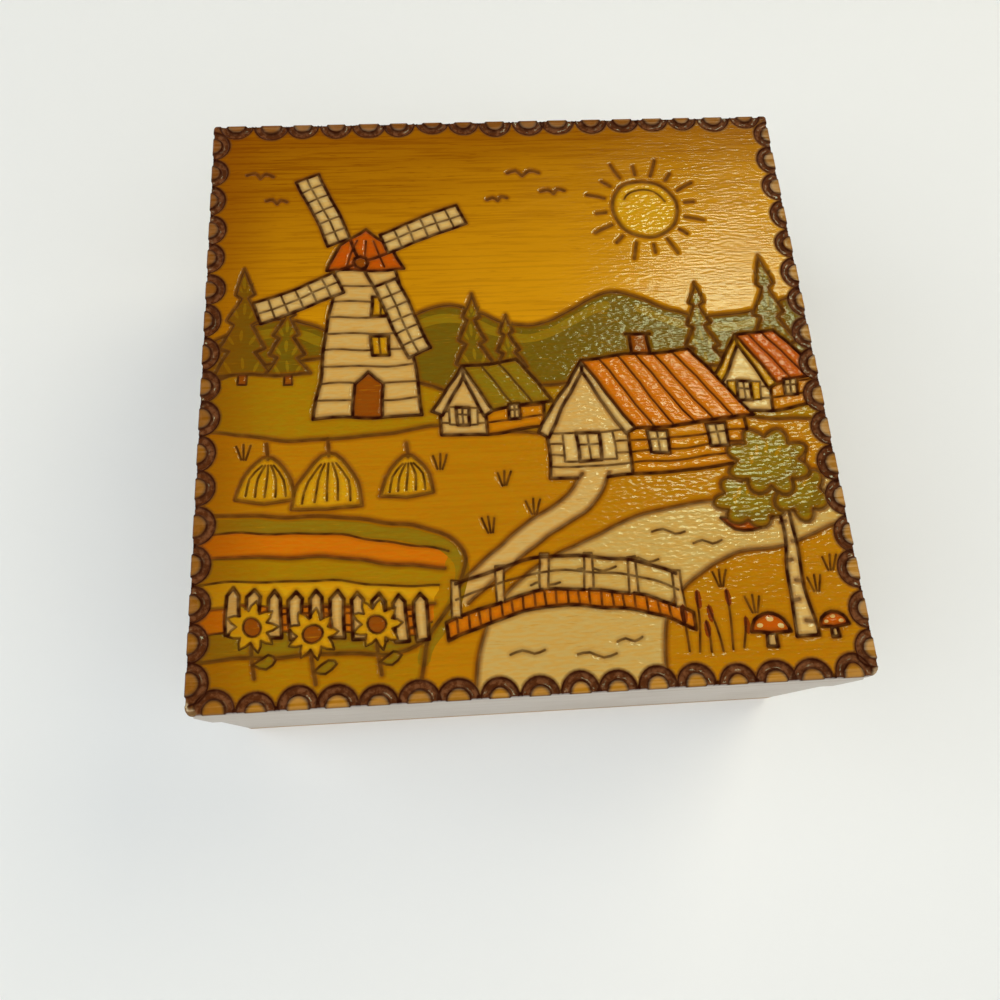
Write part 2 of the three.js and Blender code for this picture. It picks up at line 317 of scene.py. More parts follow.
def window(d, x, y, wide, tall, shutters=None):
    if shutters:
        for left in (x - wide * 0.62, x + wide):
            d.shape(oblong(left, y, wide * 0.62, tall), shutters, FINE)
    d.shape(oblong(x, y, wide, tall), "white")
    d.rule(x + wide / 2, y, 0, tall)
    d.rule(x, y + tall * 0.6, wide, 0)


def cottage(d, x, y, wide, tall, gable, length, colours, logs=4, rise=1.8, chimney=True):
    """A log cottage seen from one corner: its gable end faces us and its long side runs right."""
    wall, side_wall, roof, trim = colours
    apex = (x + wide / 2, y + tall + gable)
    far = x + wide + length
    if chimney:
        left, top = x + wide * 0.5 + length * 0.45, y + tall + gable + 6
        d.shape(oblong(left, top - 9, 4.2, 9), "brick")
        d.rule(left - 0.8, top, 5.8, 0, CRISP)
    long_side = [(x + wide, y), (far, y + rise), (far, y + tall + rise), (x + wide, y + tall)]
    d.shape(long_side, side_wall)
    front = [(x, y), (x + wide, y), (x + wide, y + tall), apex, (x, y + tall)]
    d.shape(front, wall)
    for i in range(1, logs + 1):
        level = tall * i / (logs + 1)
        d.rule(x + wide, y + level, length, rise)
        d.rule(x, y + level, wide, 0)
    slope = [apex, (apex[0] + length * 0.94, apex[1] + rise), (far + 2.2, y + tall + rise - 1.8),
             (x + wide + 1.8, y + tall - 2.4)]
    d.shape(slope, roof)
    boards = max(4, int(length / 3.4))
    joints = list(zip(along(slope[0], slope[1], boards), along(slope[3], slope[2], boards)))
    for joint in joints[1:-1]:
        d.burn(joint, FINE)
    for inward, eave in ((2.2, (x - 1.8, y + tall - 2.4)), (-2.2, slope[3])):
        d.shape([eave, apex, (apex[0], apex[1] - 2.6), (eave[0] + inward, eave[1] - 1.2)], trim)
    window(d, x + wide * 0.36, y + tall * 0.3, wide * 0.28, tall * 0.5, trim)
    count = 2 if length > 16 else 1
    for i in range(count):
        start = x + wide + length * (i + 0.5) / count - wide * 0.13
        window(d, start, y + tall * 0.34 + rise * (i + 0.5) / count, wide * 0.24, tall * 0.42)


def river(d):
    far_bank = smooth([(70, -27), (50, -31), (34, -32), (19, -36), (5, -42), (-5, -49), (-11, -58),
                       (-13, -70)])
    near_bank = smooth([(70, -37), (54, -42), (42, -44), (33, -49), (27, -57), (26, -70)])
    d.lane(far_bank, near_bank, "water")
    for x, y, length in ((58, -34, 8), (30, -38, 7), (38, -40.5, 6), (14, -45, 8), (24, -44, 6), (3, -48, 6),
                         (-2, -61.5, 7), (12, -62.5, 8), (19, -60, 5)):
        ripple = [(-1 / 2, 0), (-1 / 6, 0.5), (1 / 6, -0.4), (1 / 2, 0.2)]
        d.burn(smooth([(x + length * across, y + up) for across, up in ripple]), FINE)
    hull = smooth([(42, -35.6), (44.5, -38.2), (50, -38.2), (54, -35)])
    d.shape(np.vstack([hull, [(51, -35.8), (45, -36.1)]]), "red")


def footbridge(d, left=-18, right=33, level=-55, rise=6):
    """An arched plank bridge with a hand rail."""
    share = np.linspace(-1, 1, 23)
    middle, half = (left + right) / 2, (right - left) / 2
    upper = np.stack([middle + half * share, level + rise * (1 - share ** 2)], 1)
    d.shape(np.vstack([upper, upper[::-1] - (0, 3.4)]), "orange")
    for x, y in upper[1:-1]:
        d.rule(x, y, 0, -3)
    for x, y in upper[1:-1:4]:
        d.shape(oblong(x - 0.9, y, 1.8, 7.6), "cream", FINE)
    rail = upper[1:-1] + (0, 7)
    d.burn(rail)
    d.burn(rail - (0, 3.2), FINE)


def haystack(d, x, y, size):
    mound = [(-1, 0), (-0.86, 0.7), (-0.4, 1.35), (0, 1.6), (0.4, 1.35), (0.86, 0.7), (1, 0)]
    mound = smooth(set_at(mound, x, y, size))
    d.shape(np.vstack([mound, [(x, y - size * 0.12)]]), "gold", SOFT)
    d.rule(x, y + size * 1.5, 0, size * 0.55, SOFT)
    for i in range(-2, 3):
        spread = i * 0.34
        straw = [(spread * 0.3, 1.25), (spread * 0.85, 0.75), (spread, 0.14)]
        d.burn(smooth(set_at(straw, x, y, size)), FINE)


def field(d):
    edge = smooth([(-70, -30), (-46, -31), (-24, -34), (-14, -40), (-16, -50), (-22, -58), (-24, -70)])
    d.paint(np.vstack([edge, [(-70, -70)]]), "bush", edged=True)
    d.burn(edge, SOFT)
    furrows = []
    for i in range(6):
        start = (-70, -34 - i * 5.2)
        furrow = [start, (-48, -34.5 - i * 5), (-30, -37 - i * 4.6), (-17 - i, -40 - i * 3.6)]
        furrows.append(smooth(furrow))
    for upper, lower, crop in zip(furrows[:-1], furrows[1:], ("orange", "olive", "gold", "orange", "leaf")):
        d.paint(np.vstack([upper, lower[::-1]]), crop, edged=True)
    d.brush(edge[3:-6] - (0.6, 2.2), 2.8, "leaf")
    for i, furrow in enumerate(furrows):
        d.burn(furrow, SOFT if i % 2 else FINE)


def fence(d, start=(-61, -55), end=(-23, -58), count=10, tall=9.5):
    for lift in (2.6, 6.2):
        rail = np.array([(start[0], start[1] + lift), (end[0], end[1] + lift)])
        d.shape(np.vstack([rail, rail[::-1] - (0, 1.3)]), "orange", FINE)
    for x, y in along(start, end, count):
        neck = y + tall - 1.6
        d.shape([(x - 1.3, y), (x + 1.3, y), (x + 1.3, neck), (x, y + tall), (x - 1.3, neck)], "cream")


def sunflower(d, x, y, size=3.1):
    d.burn(smooth([(x + 0.6, y - 10), (x - 0.4, y - 5), (x, y - 1)]), SOFT)
    leaf = [(0, -7.4), (3, -5.4), (4.6, -6.4), (2.6, -8.2), (0, -7.4)]
    d.shape(smooth(set_at(leaf, x, y, 1))[:-1], "leaf", FINE)
    angles = np.arange(36) * 10
    reach = size * (1.35 + 0.32 * np.cos(np.radians(9 * angles)))
    d.shape(toward(angles) * reach[:, None] + (x, y), "gold", FINE)
    d.shape(arc((x, y), size * 0.62, 0, 360, 0.8)[:-1], "brick", FINE)


def leafy(centre, radius, lobes, bulge=0.16):
    """The scalloped outline of a bush or a crown of leaves."""
    angles = np.linspace(0, 360, lobes * 7 + 1)[:-1]
    swell = 1 - bulge + bulge * 2 * np.abs(np.sin(np.radians(angles) * lobes / 2))
    return toward(angles) * radius * swell[:, None] + centre


def birch(d, x, y, height=34):
    trunk = smooth([(x - 2.2, y), (x - 1.4, y + height * 0.4), (x - 0.6, y + height)])
    other = smooth([(x + 2.4, y), (x + 1.5, y + height * 0.4), (x + 0.9, y + height)])
    d.shape(np.vstack([trunk, other[::-1]]), "white")
    for i in range(6):
        level = y + 3 + i * 4.2
        side = -1 if i % 2 else 1
        d.rule(x + side * 1.5, level, -side * 1.3, 0.3, SOFT)
    crowns = (((x - 7, y + height - 5), (7, 5.4), 7), ((x + 4.4, y + height - 3), (5.6, 6), 6),
              ((x - 1.6, y + height + 4), (8.4, 7), 8))
    for centre, radius, lobes in crowns:
        d.shape(leafy(centre, radius, lobes), "leaf", SOFT)
        d.brush(arc(centre, (radius[0] * 0.74, radius[1] * 0.7), -125, 25), 2.1, "pine")
        for i in range(4):
            d.dab(toward(i * 40 + 50) * radius * 0.45 + centre, 60 + 9 * i, 3, 0.9, "olive")


def toadstool(d, x, y, size):
    stem = [(-0.24, 0), (0.28, 0), (0.18, 1), (-0.16, 1)]
    cap = [(-1, 0.72), (-0.7, 1.3), (0, 1.6), (0.72, 1.28), (1, 0.75)]
    spots = [(-0.5, 0.98), (0.02, 1.26), (0.5, 0.96)]
    d.shape(set_at(stem, x, y, size), "white")
    cap = smooth(set_at(cap, x, y, size), 1.0)
    d.shape(np.vstack([cap, [(x, y + size * 0.6)]]), "red")
    for spot in set_at(spots, x, y, size):
        d.dab(spot, 0, size * 0.34, size * 0.24, "white", 1)


def reeds(d, x, y, count=6):
    for i in range(count):
        foot = x + i * 2.3
        tall = 9 + 3.5 * math.sin(i * 2.1)
        lean = 1.4 * math.sin(i * 1.7)
        d.burn(smooth([(foot, y), (foot + lean * 0.4, y + tall * 0.5), (foot + lean, y + tall)]), FINE)
        d.dab((foot + lean, y + tall - 1.4), 88, 4, 1.5, "brick", 1)


def meadow_grass(d):
    tufts = ((-60, -18), (-18, -22), (-4, -26), (2, -33), (40, -50), (62, -24), (46, -56), (60, -52),
             (-8, -36), (64, -48))
    for x, y in tufts:
        for lean in (-26, 0, 24):
            d.burn([(x + lean * 0.02, y), toward(90 - lean) * 3.4 + (x, y)], FINE)


def footpath(d):
    left = smooth([(13, -24), (8, -30), (-2, -36), (-12, -44), (-19, -53)])
    right = smooth([(19, -24), (15, -31), (4, -38), (-6, -45), (-13, -51)])
    d.lane(left, right, "cream")


def village_picture():
    d = Drawing()
    sky(d)
    hills(d)
    firs = ((-61, 2, 27, 13), (-51, 2, 20, 10), (-9, -3, 24, 11), (-1, -3, 18, 9), (44, 0, 22, 10),
            (61, -2, 31, 13))
    for x, y, height, width in firs:
        fir(d, x, y, height, width)
    windmill(d, -33, -9)
    cottage(d, -17, -14, 10, 8, 8.5, 13, ("cream", "amber", "leaf", "white"), logs=2, rise=1, chimney=False)
    cottage(d, 46, -11, 12, 9, 10, 10, ("white", "amber", "red", "gold"), logs=2, rise=1, chimney=False)
    cottage(d, 6, -25, 18, 13, 15, 27, ("cream", "amber", "orange", "white"))
    footpath(d)
    field(d)
    river(d)
    for x, y, size in ((-55, -27, 6.2), (-42, -29, 7.4), (-25, -27, 5.6)):
        haystack(d, x, y, size)
    meadow_grass(d)
    footbridge(d)
    fence(d)
    for x, y in ((-57, -53.5), (-45, -55.5), (-32, -54)):
        sunflower(d, x, y)
    reeds(d, 31, -63)
    birch(d, 56, -61, 34)
    toadstool(d, 48.5, -63, 4.2)
    toadstool(d, 62, -61.5, 3.1)
    return d


# From the drawing to carved wood

RING_RADIUS = 3.1  # to the middle of the pressed band
RING_BAND = dict(width=1.9, depth=0.62, char=1.0, toast=0.9)
RING_SCORCH_AND_SHADE = (0.5, 0.5, 0.62, 0.85)  # how brown the wood inside the rings is: front, right, back, left; scorched, with painted shade making the back and left darker
RING_BARE = (0.12, 0.25, 0.15, 0.1)  # how much pale bare wood shows there, most on the right side
RING_INSET = 0.2
RING_PITCH = 8.0
RING_CORNER = 1.9
EDGE_ROUND = 0.6
CORNER_ROUND = (1.6, 2.6, 0.9, 0.9)  # front left, front right, back right, back left
RING_NICK = dict(width=1.5, depth=0.75, char=0.9, toast=0.8)
EDGE_NOTCH = 0.28  # how far the bands cut into the lid's edge
CHIP_REACH = 3.1  # broken front left corner
CHIP_DEPTH = 1.6
WORN_REACH = 2.3  # rubbed front right corner
PICTURE_MARGIN = 1.2  # from the lid's edge to where drawn lines stop between the rings
CORNER_TOAST = 3.2
EDGE_CHAR = 0.6  # how black the worn edge is
EDGE_CHAR_REACH = 0.4
EDGE_DEPTH = 0.65  # share of their depth that the grooves keep at the very edge
EDGE_DEPTH_REACH = 1.5
EDGE_STEP = 0.25  # least drop from the top to the first row down the edge
MERGE_TOP = 1e-3  # points nearer than this become one
MERGE_UNDER = 1e-5
# The board's flat map: the top's share of its side, the underside's, the gap, and a strip for each edge
TOP_MAP, UNDER_MAP, MAP_GAP, STRIP_PITCH, STRIP_MAP = 0.7, 0.28, 0.02, 0.05, 0.04
# Rows down the lid board's edge: level, reach of the notches, reach of the burn, painted shade line at the
# joint
EDGE_ROWS = ((-1.3, 0.5, 0.4, 0), (-2.2, 0, 0.03, 0), (1.2 - BOARD_THICK, 0, 0, 0),
             (0.12 - BOARD_THICK, 0, 0, 0.5), (-BOARD_THICK, 0, 0, 0))


def split_visible(points, covers, step=0.3):
    """The stretches of a line that no later area hides."""
    lengths = np.hypot(*np.diff(points, axis=0).T)
    marks = np.concatenate([[0], np.cumsum(lengths)])
    places = np.linspace(0, marks[-1], max(3, int(marks[-1] / step) + 1))
    samples = np.stack([np.interp(places, marks, points[:, axis]) for axis in (0, 1)], 1)
    hidden = (np.abs(samples) > HALF - PICTURE_MARGIN).any(1)
    for outline in covers:
        hidden |= inside(samples, outline)
    runs = []
    start = None
    for i, gone in enumerate(np.append(hidden, True)):
        if not gone and start is None:
            start = i
        if gone and start is not None:
            if i - start > 2:
                between = points[(marks > places[start] + 0.2) & (marks < places[i - 1] - 0.2)]
                runs.append(np.vstack([samples[start:start + 1], between, samples[i - 1:i]]))
            start = None
    return runs


def split_corners(points, limit=50):
    """Cuts a line where it turns sharply, so that each piece has its own round ends."""
    way = np.diff(points, axis=0)
    heading = np.unwrap(np.arctan2(way[:, 1], way[:, 0]))
    cuts = [0, *(np.nonzero(np.abs(np.diff(heading)) > math.radians(limit))[0] + 1), len(points) - 1]
    return [points[a:b + 1] for a, b in zip(cuts[:-1], cuts[1:])]


def drawing_grooves(drawing, rings):
    """The drawn lines that show: what later areas leave of them, up to the border's rings."""
    grooves = []
    stamps = [groove["outer"] for groove in rings if groove["ring"]]
    for line in drawing.lines:
        covers = [a["outline"] for a in drawing.areas if a["hides"] and a["order"] > line["order"]]
        for run in split_visible(line["points"], covers + stamps):
            grooves += [dict(line["style"], points=part, ring=False) for part in split_corners(run)]
    return grooves


def turn_quarter(points, turns):
    """Points turned about the lid's middle by quarter turns."""
    x, y = np.transpose(points)
    for _ in range(turns):
        x, y = -y, x
    return np.stack([x, y], -1)


def ring_grooves(rng):
    """The border: half rings stamped by hand along all four edges, open to the edge."""
    grooves = []
    for turns in range(4):
        half_along, half_across = (HALF_DEPTH, HALF_WIDTH) if turns % 2 else (HALF_WIDTH, HALF_DEPTH)
        run = 2 * (half_along - RING_CORNER)
        count = int(run / RING_PITCH)
        places = [(i + 0.5) * run / count - run / 2 + rng.uniform(-0.35, 0.35) for i in range(count)]
        for x in places:
            y = RING_INSET - half_across + rng.uniform(-0.4, 0.4)
            size = [RING_RADIUS * rng.uniform(0.93, 1.06), RING_RADIUS * rng.uniform(0.93, 1.1)]
            line = turn_quarter(arc((x, y), tuple(size), -60, 240, 0.75), turns)
            island = dict(centre=turn_quarter((x, y), turns), inner=min(size) - RING_BAND["width"] / 2)
            burn = dict(depth=RING_BAND["depth"] * rng.uniform(0.8, 1.15), char=rng.uniform(0.88, 1.0))
            # painted shade: the brown inside the rings is deeper on the back and left sides
            island["scorch"] = RING_SCORCH_AND_SHADE[turns] + rng.uniform(-0.2, 0.15)
            island["bare"] = RING_BARE[turns] * (1.5 - island["scorch"])
            reach = (size[0] + RING_BAND["width"] / 2, size[1] + RING_BAND["width"] / 2)
            island["outer"] = turn_quarter(arc((x, y), reach, 0, 360), turns)
            grooves.append(dict(RING_BAND, **burn, **island, points=line, ring=True))
        for left, right in zip(places[:-1], places[1:]):
            middle = (left + right) / 2
            nick = turn_quarter([(middle, -half_across - 1), (middle, 0.5 - half_across)], turns)
            grooves.append(dict(RING_NICK, points=nick, ring=False))
    return grooves


def offset_loop(points, distance, cap=4):
    """The outline at a distance all round a line, with round ends."""
    way = np.diff(points, axis=0)
    way /= np.maximum(np.hypot(way[:, 0], way[:, 1]), 1e-9)[:, None]
    normal = np.stack([-way[:, 1], way[:, 0]], 1)
    at_points = np.vstack([normal[:1], normal[:-1] + normal[1:], normal[-1:]])
    at_points /= np.maximum(np.hypot(at_points[:, 0], at_points[:, 1]), 1e-9)[:, None]
    facing = np.vstack([normal[:1], normal])
    at_points /= np.maximum((at_points * facing).sum(1), 0.6)[:, None]
    left = points + at_points * distance
    right = points - at_points * distance

    def round_end(centre, ahead):
        heading = math.degrees(math.atan2(ahead[1], ahead[0]))
        return centre + distance * toward(heading + np.linspace(90, -90, cap + 1)[1:-1])

    return np.vstack([left, round_end(points[-1], way[-1]), right[::-1], round_end(points[0], -way[0])])


def lid_outline(inset=0.0, step=2.5):
    """The lid board's edge seen from above, with its worn corners rounded."""
    width, depth = HALF_WIDTH - inset, HALF_DEPTH - inset
    corners = ((-1, -1, 180), (1, -1, 270), (1, 1, 0), (-1, 1, 90))
    made = []
    for (sx, sy, start), rounding in zip(corners, CORNER_ROUND):
        radius = max(rounding - inset, 0.1)
        made.append(arc((sx * (width - radius), sy * (depth - radius)), radius, start, start + 90))
    return densify(closed(np.vstack(made)), step)[:-1]


def nearest(points, line):
    """Each point's distance to a line."""
    a, b = line[:-1], line[1:]
    way = b - a
    size = np.maximum((way ** 2).sum(1), 1e-12)
    t = np.clip(((points[:, None] - a) * way).sum(2) / size, 0, 1)
    gap = points[:, None] - (a + t[:, :, None] * way)
    return np.sqrt((gap ** 2).sum(2).min(1))


def ease(low, high, value):
    t = np.clip((value - low) / (high - low), 0, 1)
    return t * t * (3 - 2 * t)


def lift(field, near, value):
    """Raises a field at some points, where the value is higher."""
    field[near] = np.maximum(field[near], value)


def groove_fields(points, grooves):
    """Depth in millimetres, char, toast, stamped brown, bare wood and the border's reach at each point."""
    depth, char, toast, stamp, bare, border = (np.zeros(len(points)) for _ in range(6))
    for groove in grooves:
        half = groove["width"] / 2
        reach = half + TOAST_REACH
        near = in_box(points, groove["points"].min(0) - reach, groove["points"].max(0) + reach)
        if not len(near):
            continue
        gap = nearest(points[near], groove["points"])
        x, y = points[near].T
        hand = 1 + 0.13 * np.sin(1.3 * x + 0.9 * y) + 0.09 * np.sin(2.9 * y - 1.7 * x)
        t = gap / half
        if groove["ring"]:
            section = 1 - ease(0.5, 1.0, t)
            blackness = np.where(t < 1.4, np.exp(-((t - 0.97) / 0.34) ** 2), 0)
            lift(stamp, near, 1 - ease(1.0, 1.25, t))
            island = np.hypot(*(points[near] - groove["centre"]).T) < groove["inner"] + 0.1
            lift(toast, near, 0.7 * groove["scorch"] * island)
            lift(stamp, near, 0.5 * groove["scorch"] * island)
            lift(bare, near, groove["bare"] * island)
            lift(border, near, island | (t < 1.05))
        else:
            section = np.clip(1 - t ** 2, 0, 1) ** 1.5
            blackness = 1 - ease(0.5, 1.08, t)
        lift(depth, near, groove["depth"] * hand * section)
        lift(char, near, np.clip(groove["char"] * hand, 0, 1) * blackness)
        lift(toast, near, groove["toast"] * (1 - ease(half, reach, gap)))
    return depth, char, toast, stamp, bare, border


def groove_lines(groove):
    """The lines that the surface has to bend along for one groove."""
    half = groove["width"] / 2
    shares = (0.45, 0.7, 0.84, 0.97, 1.1, 1.2) if groove["ring"] else (0.5, 1.05)
    distances = [half * share for share in shares] + [half + TOAST_REACH]
    return [offset_loop(groove["points"], distance) for distance in distances]


def surface_mesh(grooves, areas, outline):
    """Triangles of the lid's top that bend along every groove and break along every area's edge."""
    places, edges = [], []

    def add(points, is_closed):
        first = len(places)
        places.extend(map(tuple, points))
        count = len(points)
        edges.extend((first + i, first + (i + 1) % count) for i in range(count if is_closed else count - 1))

    for groove in grooves:
        add(groove["points"], False)
        for loop in groove_lines(groove):
            add(loop, True)
    for area in areas:
        if not area["edged"]:
            add(area["outline"], True)
    for inset in (0, EDGE_ROUND * 0.35, EDGE_ROUND):
        add(lid_outline(inset), True)
    chip = CHIP_REACH * np.array([(0.1, 1.0), (0.32, 0.72), (0.5, 0.62), (0.66, 0.4), (1.05, 0.1)])
    add(chip - HALF, False)
    made = delaunay_2d_cdt(places, edges, [], 0, MERGE_TOP, False)
    points = np.array([tuple(v) for v in made[0]])
    faces = np.array(made[2])
    kept = faces[inside(points[faces].mean(1), outline)]
    used = np.unique(kept)
    place_of = np.full(len(points), -1)
    place_of[used] = np.arange(len(used))
    return points[used], place_of[kept]


def boundary_loop(faces):
    """The points round the edge of the triangles, in order."""
    pairs = np.vstack([faces[:, [0, 1]], faces[:, [1, 2]], faces[:, [2, 0]]])
    following = {}
    known = set(map(tuple, pairs))
    for a, b in known:
        if (b, a) not in known:
            following[a] = b
    start = next(iter(following))
    loop = [start]
    while following[loop[-1]] != start:
        loop.append(following[loop[-1]])
    return np.array(loop)


def area_colours(points, faces, areas, border):
    """The paint's colour on each triangle and how well it covers the wood, with none under the border."""
    middles = points[faces].mean(1)
    colour = np.tile(np.array(PAINTS["amber"]), (len(faces), 1))
    cover = np.zeros(len(faces))
    for area in areas:
        within = inside(middles, area["outline"])
        colour[within] = PAINTS[area["colour"]]
        cover[within] = area["cover"]
    cover[border[faces].min(1) > 0] = 0
    return colour, cover


def unwrap_board(mesh, top_count, edge_end):
    """A flat map of the board: the top, a strip for each edge and, smaller, the underside."""
    corners = np.zeros(len(mesh.loops), np.int32)
    mesh.loops.foreach_get("vertex_index", corners)
    places = np.zeros(len(mesh.vertices) * 3)
    mesh.vertices.foreach_get("co", places)
    places = places.reshape(-1, 3) / MM
    counts = np.array([polygon.loop_total for polygon in mesh.polygons])
    owner = np.repeat(np.arange(len(counts)), counts)
    middles = np.add.reduceat(places[corners], np.cumsum(counts) - counts) / counts[:, None]
    across = (places[corners][:, :2] / HALF + 1) / 2
    flat = across * TOP_MAP
    under = owner >= edge_end
    flat[under] = across[under] * UNDER_MAP + (TOP_MAP + MAP_GAP, 0)
    share = middles[:, :2] / HALF
    on_side = np.abs(share[:, 0]) > np.abs(share[:, 1])
    strip = 2 * on_side + np.where(on_side, share[:, 0], share[:, 1]).clip(0).astype(bool)
    level = (places[corners][:, 2] - BOARD_LOW.z / MM) / BOARD_THICK
    edge = (owner >= top_count) & ~under
    run = np.where(on_side[owner], across[:, 1], across[:, 0])
    rise = TOP_MAP + MAP_GAP + STRIP_PITCH * strip[owner] + STRIP_MAP * level
    flat[edge] = np.stack([run * TOP_MAP, rise], 1)[edge]
    mesh.uv_layers.new(name="OFBake").data.foreach_set("uv", flat.ravel())


def worn_surface(points, outline, depth, char, toast, stamp, bare):
    """The top's height, the notches at its edge and its marks, once its edges and corners are worn."""
    gap = nearest(points, closed(outline))
    char = np.maximum(char, EDGE_CHAR * (1 - ease(0, EDGE_CHAR_REACH, gap)))
    to_corner = np.hypot(*(HALF - np.abs(points)).T)
    stamp = np.maximum(stamp, 1 - ease(CORNER_TOAST * 0.5, CORNER_TOAST, to_corner))
    near_edge = np.clip(EDGE_ROUND - gap, 0, EDGE_ROUND)
    drop = EDGE_ROUND - np.sqrt(EDGE_ROUND ** 2 - near_edge ** 2)
    corner = points + HALF
    broken = np.clip(1 - corner.sum(1) / (CHIP_REACH * 1.15) + 0.1 * np.sin(corner[:, 0] * 4.1), 0, 1)
    rising = EDGE_DEPTH + (1 - EDGE_DEPTH) * ease(0, EDGE_DEPTH_REACH, gap)
    height = -np.maximum(depth * rising, drop) - CHIP_DEPTH * broken
    rubbed = np.hypot(*(points - HALF * (1, -1)).T)
    rubbed = 0.7 * (1 - ease(WORN_REACH * 0.6, WORN_REACH, rubbed))
    raw = np.maximum(np.maximum(ease(0.05, 0.3, broken) * 0.85, rubbed), bare)
    notch = EDGE_NOTCH * np.clip(depth / RING_BAND["depth"], 0, 1) * np.clip(1 - gap, 0, 1)
    return height, notch, np.column_stack([char, toast, raw, stamp])


def add_edge(points, loop, height, shift, marks):
    """All points of the board with their marks, and the numbers of the points in each row down its edge."""
    places = [np.column_stack([points + shift, height])]
    fields = [marks]
    rows = [loop]
    for i, (level, share, fade, joint_shade) in enumerate(EDGE_ROWS):
        floor = np.minimum(height[loop] - EDGE_STEP, level)
        places.append(np.column_stack([points[loop] + shift[loop] * share, floor]))
        # painted shade: a dark line low on the board's edge where it sits on the rim, carried in the toast
        # mark
        fields.append(marks[loop] * fade + (0, joint_shade, 0, 0))
        rows.append(len(points) + i * len(loop) + np.arange(len(loop)))
    return np.vstack(places), np.vstack(fields), rows


def close_board(points, rows):
    """The faces down the board's edge and under it."""
    sides = []
    for upper, lower in zip(rows[:-1], rows[1:]):
        sides += np.stack([np.roll(upper, -1), upper, lower, np.roll(lower, -1)], 1).tolist()
    edge = [tuple(place) for place in points[rows[0]]]
    ring = [(i, (i + 1) % len(edge)) for i in range(len(edge))]
    filled = delaunay_2d_cdt(edge, ring, [], 1, MERGE_UNDER, False)[2]
    under = [[int(rows[-1][i]) for i in reversed(face)] for face in filled]
    return sides, under


def build_lid_board():
    """The lid board as carved: picture, stamped border, worn edges and a broken corner."""
    drawing = village_picture()
    rings = ring_grooves(random.Random(11))
    grooves = drawing_grooves(drawing, rings) + rings
    outline = lid_outline()
    points, faces = surface_mesh(grooves, drawing.areas, outline)
    depth, char, toast, stamp, bare, border = groove_fields(points, grooves)
    colour, cover = area_colours(points, faces, drawing.areas, border)
    height, notch, marks = worn_surface(points, outline, depth, char, toast, stamp, bare)
    shift = -np.sign(points) * (np.abs(points) > HALF - 1.0) * notch[:, None]
    places, fields, rows = add_edge(points, boundary_loop(faces), height, shift, marks)
    sides, under = close_board(points, rows)

    mesh = bpy.data.meshes.new("lid_board_carved")
    polygons = faces.tolist() + sides + under
    mesh.from_pydata((places * MM + (0, 0, LID_TOP)).tolist(), [], polygons)
    for name, values in zip(("char", "toast", "raw", "stamp"), fields.T):
        mesh.attributes.new(name, "FLOAT", "POINT").data.foreach_set("value", values.copy())
    spare = len(polygons) - len(faces)
    colour = np.vstack([colour, np.ones((spare, 4))])
    cover = np.append(cover, np.zeros(spare))
    mesh.attributes.new("paint", "FLOAT_COLOR", "FACE").data.foreach_set("color", colour.ravel())
    mesh.attributes.new("cover", "FLOAT", "FACE").data.foreach_set("value", cover)
    is_top = np.arange(len(polygons)) < len(faces)
    mesh.polygons.foreach_set("use_smooth", is_top)
    mesh.polygons.foreach_set("material_index", np.where(is_top, 0, 1).astype(np.int32))
    mesh.update()
    unwrap_board(mesh, len(faces), len(faces) + len(sides))
    board = bpy.data.objects.new("lid_board_carved", mesh)
    bpy.context.scene.collection.objects.link(board)
    return board


# Shader nodes

VECTOR = "NodeSocketVector"
NUMBER = "NodeSocketFloat"


class Graph:
    """A tree of shader nodes with short ways to add to it."""

    def __init__(self, tree):
        self.tree = tree

    def put(self, socket, value):
        """Links an input to another node's output, or sets its value."""
        if isinstance(value, bpy.types.NodeSocket):
            self.tree.links.new(value, socket)
        else:
            socket.default_value = value

    def node(self, kind, values=None, **settings):
        """The outputs of a new node with its settings, and its inputs either linked or set."""
        made = self.tree.nodes.new(kind)
        for key, value in settings.items():
            setattr(made, key, value)
        for key, value in (values or {}).items():
            self.put(made.inputs[key], value)
        return made.outputs

    def math(self, operation, a, b=0.5, clamp=False):
        return self.node("ShaderNodeMath", {0: a, 1: b}, operation=operation, use_clamp=clamp)[0]

    def times(self, a, b):
        return self.math("MULTIPLY", a, b)

    def plus(self, a, b, clamp=False):
        return self.math("ADD", a, b, clamp)

    def minus(self, a, b, clamp=False):
        return self.math("SUBTRACT", a, b, clamp)

    def larger(self, a, b):
        return self.math("MAXIMUM", a, b)

    def masks(self, *parts):
        """Masks added up, each at its own strength, and kept between 0 and 1."""
        shares = [self.times(mask, strength) for mask, strength in parts]
        total = shares[0]
        for share in shares[1:]:
            total = self.plus(total, share, True)
        return total

    def vector(self, operation, a, b):
        return self.node("ShaderNodeVectorMath", {0: a, 1: b}, operation=operation)[0]

    def axes(self, vector):
        return self.node("ShaderNodeSeparateXYZ", {0: vector})

    def blend(self, share, a, b, mode="MIX"):
        settings = dict(data_type="RGBA", blend_type=mode, clamp_factor=True)
        return self.node("ShaderNodeMix", {0: share, 6: a, 7: b}, **settings)[2]

    def tint(self, colour, mask, strength, towards):
        return self.blend(self.times(mask, strength), colour, towards)

    def noise(self, vector, scale, detail=3.0, roughness=0.55):
        """Noise drawn out along one way; scale counts features to the metre along each axis."""
        place = self.vector("MULTIPLY", vector, scale)
        values = {"Vector": place, "Scale": 1.0, "Detail": detail, "Roughness": roughness}
        return self.node("ShaderNodeTexNoise", values)["Fac"]

    def step(self, value, low, high):
        values = {"Value": value, "From Min": low, "From Max": high}
        return self.node("ShaderNodeMapRange", values, interpolation_type="SMOOTHSTEP")["Result"]


def new_group(name, inputs, outputs):
    tree = bpy.data.node_groups.new(name, "ShaderNodeTree")
    for label, kind in inputs:
        tree.interface.new_socket(label, in_out="INPUT", socket_type=kind)
    for label in outputs:
        tree.interface.new_socket(label, in_out="OUTPUT", socket_type=NUMBER)
    return Graph(tree), tree.nodes.new("NodeGroupInput").outputs, tree.nodes.new("NodeGroupOutput").inputs


